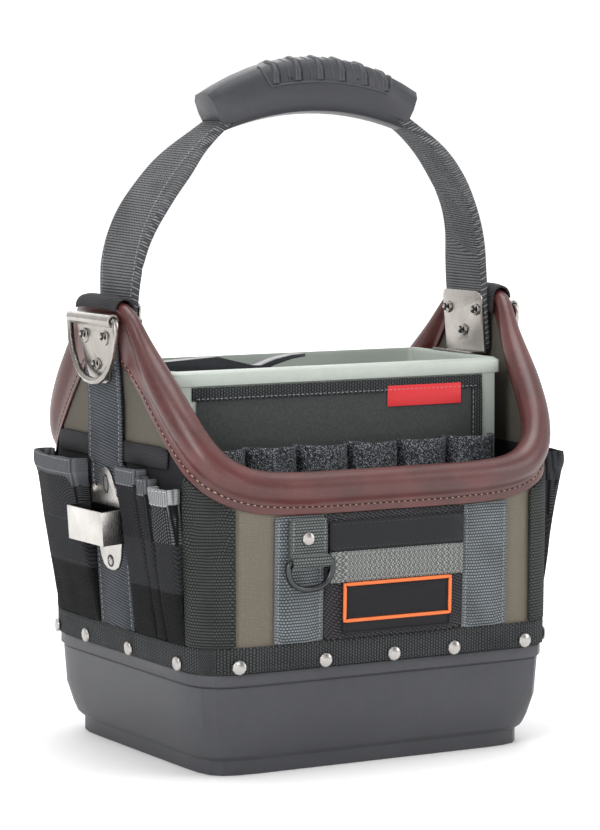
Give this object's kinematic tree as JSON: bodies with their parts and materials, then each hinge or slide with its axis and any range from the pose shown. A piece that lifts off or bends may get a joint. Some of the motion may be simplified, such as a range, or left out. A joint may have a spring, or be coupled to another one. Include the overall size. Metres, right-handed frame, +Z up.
{
  "type": "open top tool tote",
  "caption": "Open top tool tote with a moulded base, canvas sides, a saddle shaped leather rim, a rigid centre box, side pockets and a webbing handle with a moulded grip.",
  "frame": {"origin": "middle of the foot, on the floor", "axes": "+X along the length to the right end, -Y out of the front, +Z up"},
  "size_m": [0.343, 0.2746, 0.492],
  "materials": {
    "nickel": "worn bright nickel plate",
    "gunmetal": "dark plated wire",
    "charcoal_plastic": "fine moulded grain, satin",
    "grey_plastic": "smooth satin",
    "black_plastic": "smooth with light edges",
    "taupe_canvas": "plain weave canvas",
    "black_webbing": "ribbed webbing, matt",
    "black_cloth": "ballistic weave, matt",
    "grey_webbing": "woven webbing, matt",
    "handle_webbing": "cross ribbed webbing, matt",
    "loop_webbing": "salt and pepper webbing, matt",
    "felt": "pressed felt, matt",
    "leather": "waxed, soft gloss",
    "red_tag": "soft satin",
    "patch": "raised frame round a dark field",
    "label": "bare soft plate"
  },
  "bodies": {
    "tote": {"base_tub": "charcoal_plastic", "body_shell": "taupe_canvas", "leather_rim": "leather", "rivet_band": "black_webbing", "band_rivet_front_1": "nickel", "band_rivet_front_2": "nickel", "band_rivet_front_3": "nickel", "band_rivet_front_4": "nickel", "band_rivet_front_5": "nickel", "band_rivet_left_1": "nickel", "band_rivet_left_2": "nickel", "band_rivet_left_3": "nickel", "band_rivet_left_4": "nickel", "band_rivet_right_1": "nickel", "band_rivet_right_2": "nickel", "band_rivet_right_3": "nickel", "band_rivet_right_4": "nickel", "front_webbing_left": "grey_webbing", "front_webbing_right": "grey_webbing", "centre_panel": "black_cloth", "label_plate": "label", "grey_band": "grey_webbing", "framed_patch": "patch", "corner_webbing_front_left": "black_webbing", "corner_webbing_front_right": "black_webbing", "corner_webbing_back_right": "black_webbing", "corner_webbing_back_left": "black_webbing", "side_strap_left": "grey_webbing", "side_strap_right": "grey_webbing", "collar_band_left": "black_webbing", "collar_band_right": "black_webbing", "large_pocket_left": "black_cloth", "large_pocket_right": "black_cloth", "slim_pocket_1_left": "black_cloth", "slim_pocket_1_right": "black_cloth", "slim_pocket_2_left": "black_cloth", "slim_pocket_2_right": "black_cloth", "slim_pocket_3_left": "black_cloth", "slim_pocket_3_right": "black_cloth", "ring_strap": "grey_webbing", "ring_rivet": "nickel", "centre_box": "grey_plastic", "felt_panel": "felt", "red_tag": "red_tag", "tool_loops": "loop_webbing", "box_catch": "black_plastic", "handle_grip": "charcoal_plastic", "handle_strap_left": "handle_webbing", "handle_strap_right": "handle_webbing", "peak_loop_left": "black_webbing", "peak_loop_right": "black_webbing", "ring_plate_left": "nickel", "ring_plate_right": "nickel", "inner_plate_left": "nickel", "inner_plate_right": "nickel", "tape_clip": "nickel"},
    "left_ring": {"end_ring_left": "nickel"},
    "right_ring": {"end_ring_right": "nickel"},
    "strap_ring": {"front_ring": "gunmetal"}
  },
  "joints": [
    {"name": "left_ring_swing", "type": "hinge", "parent": "tote", "child": "left_ring", "pos_m": [-0.1649, 0, 0.3095], "axis": [0, 1, 0], "range_deg": [0, 150]},
    {"name": "right_ring_swing", "type": "hinge", "parent": "tote", "child": "right_ring", "pos_m": [0.1649, 0, 0.3095], "axis": [0, -1, 0], "range_deg": [0, 150]},
    {"name": "strap_ring_swing", "type": "hinge", "parent": "tote", "child": "strap_ring", "pos_m": [-0.06605, -0.13272, 0.14786], "axis": [-0.9995, 0.0077, -0.0298], "range_deg": [0, 130]}
  ]
}
